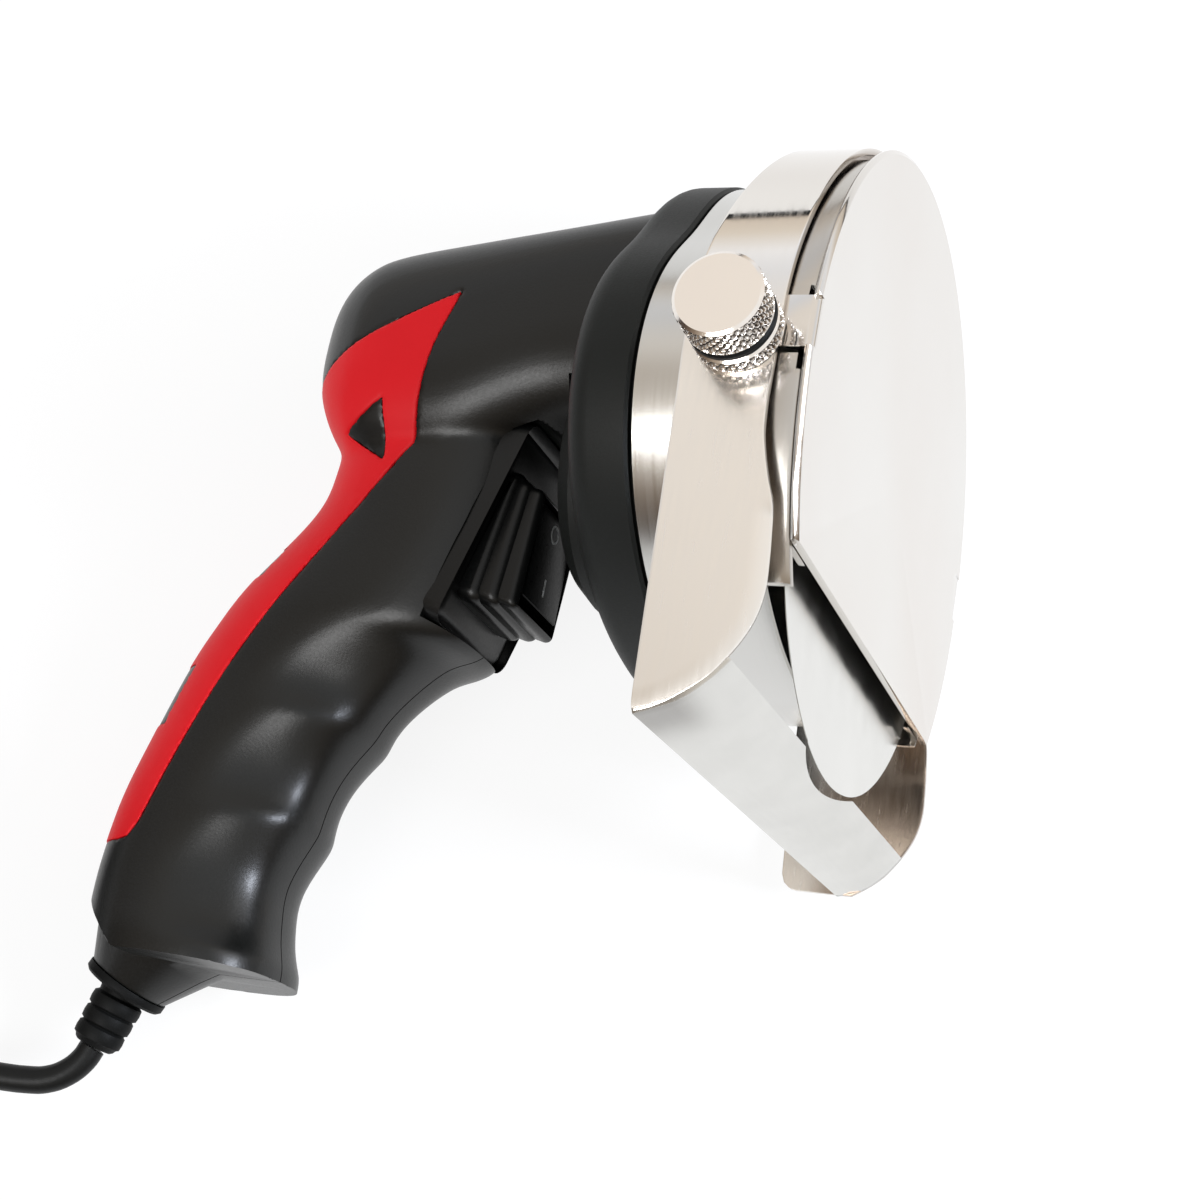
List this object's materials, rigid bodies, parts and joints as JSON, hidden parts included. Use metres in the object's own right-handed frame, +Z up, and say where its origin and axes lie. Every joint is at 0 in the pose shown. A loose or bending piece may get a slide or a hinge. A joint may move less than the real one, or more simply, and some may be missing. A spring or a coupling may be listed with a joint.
{
  "type": "electric kebab slicer",
  "caption": "Hand-held electric kebab slicer with a round blade head, thickness guide, black pistol grip with a red inlay and a mains cord.",
  "frame": {"origin": "on the table, under the middle of the lying tool's box, without the cord", "axes": "+Z up from the table that the tool lies on; +Y towards the top of the tool's head; +X along the table the way the blade faces"},
  "size_m": [0.2514, 0.1774, 0.121],
  "materials": {
    "black_plastic": "fine matte grain",
    "red_plastic": "satin",
    "polished_steel": "mirror polish",
    "plain_steel": "turned",
    "turned_aluminium": "turned, satin",
    "black_rubber": "matte",
    "cord_sheath": "satin",
    "brass": "plain",
    "circuit_board": "lacquered"
  },
  "bodies": {
    "tool_body": {"housing_right": "black_plastic", "housing_left": "black_plastic", "collar": "black_plastic", "switch_body": "black_plastic", "motor_end_cap": "black_plastic", "plug_body": "black_plastic", "cord_tie": "black_plastic", "grip_inlay": "red_plastic", "bearing_front": "plain_steel", "bearing_rear": "plain_steel", "knob_stud": "plain_steel", "guide_pin": "plain_steel", "housing_screw_1": "plain_steel", "housing_screw_2": "plain_steel", "housing_screw_3": "plain_steel", "housing_screw_4": "plain_steel", "housing_screw_5": "plain_steel", "collar_screw_1": "plain_steel", "collar_screw_2": "plain_steel", "collar_screw_3": "plain_steel", "motor_can": "plain_steel", "magnet_upper": "plain_steel", "magnet_lower": "plain_steel", "head_ring": "turned_aluminium", "switch_bezel": "black_rubber", "strain_relief": "black_rubber", "brush_right": "black_rubber", "brush_left": "black_rubber", "cord_free": "cord_sheath", "cord_coil": "cord_sheath", "cord_tail": "cord_sheath", "bush_front": "brass", "bush_rear": "brass", "terminal_upper": "brass", "terminal_lower": "brass", "plug_pin_1": "brass", "plug_pin_2": "brass", "rectifier_board": "circuit_board"},
    "blade_set": {"blade": "polished_steel", "blade_screw": "plain_steel", "spindle": "plain_steel", "drive_gear": "plain_steel"},
    "rotor_set": {"rotor_shaft": "plain_steel", "rotor_core": "plain_steel", "commutator": "brass", "pinion": "brass"},
    "rocker_set": {"rocker": "black_rubber"},
    "guide_set": {"guide_hood": "polished_steel", "guide_scoop": "polished_steel"},
    "knob_set": {"knob_head": "plain_steel", "knob_washer": "black_rubber", "knob_nut": "plain_steel"},
    "cover_set": {"cover_plate": "polished_steel", "cover_skirt": "polished_steel"}
  },
  "joints": [
    {"name": "blade_spin", "type": "hinge", "parent": "tool_body", "child": "blade_set", "pos_m": [0.04728, 0.02769, 0.06298], "axis": [0.8944, 0.0248, 0.4466], "continuous": true},
    {"name": "rotor_spin", "type": "hinge", "parent": "tool_body", "child": "rotor_set", "pos_m": [-0.00638, 0.04966, 0.03489], "axis": [0.8944, 0.0248, 0.4466], "continuous": true},
    {"name": "rocker_tip", "type": "hinge", "parent": "tool_body", "child": "rocker_set", "pos_m": [-0.01136, 0.01206, 0.03448], "axis": [0.4472, -0.0496, -0.893], "range_deg": [0, 12]},
    {"name": "guide_slide", "type": "slide", "parent": "tool_body", "child": "guide_set", "axis": [0.8944, 0.0248, 0.4466], "range_m": [-0.0025, 0.0025]},
    {"name": "knob_turn", "type": "hinge", "parent": "tool_body", "child": "knob_set", "pos_m": [0.01061, 0.03039, 0.11165], "axis": [0.4472, -0.0496, -0.893], "range_deg": [0, 360]},
    {"name": "cover_turn", "type": "hinge", "parent": "tool_body", "child": "cover_set", "pos_m": [0.04728, 0.02769, 0.06298], "axis": [0.8944, 0.0248, 0.4466], "range_deg": [-5, 0]}
  ],
  "couplings": [
    {"joint": "rotor_spin", "follows": "blade_spin", "ratio": -4.2222}
  ]
}
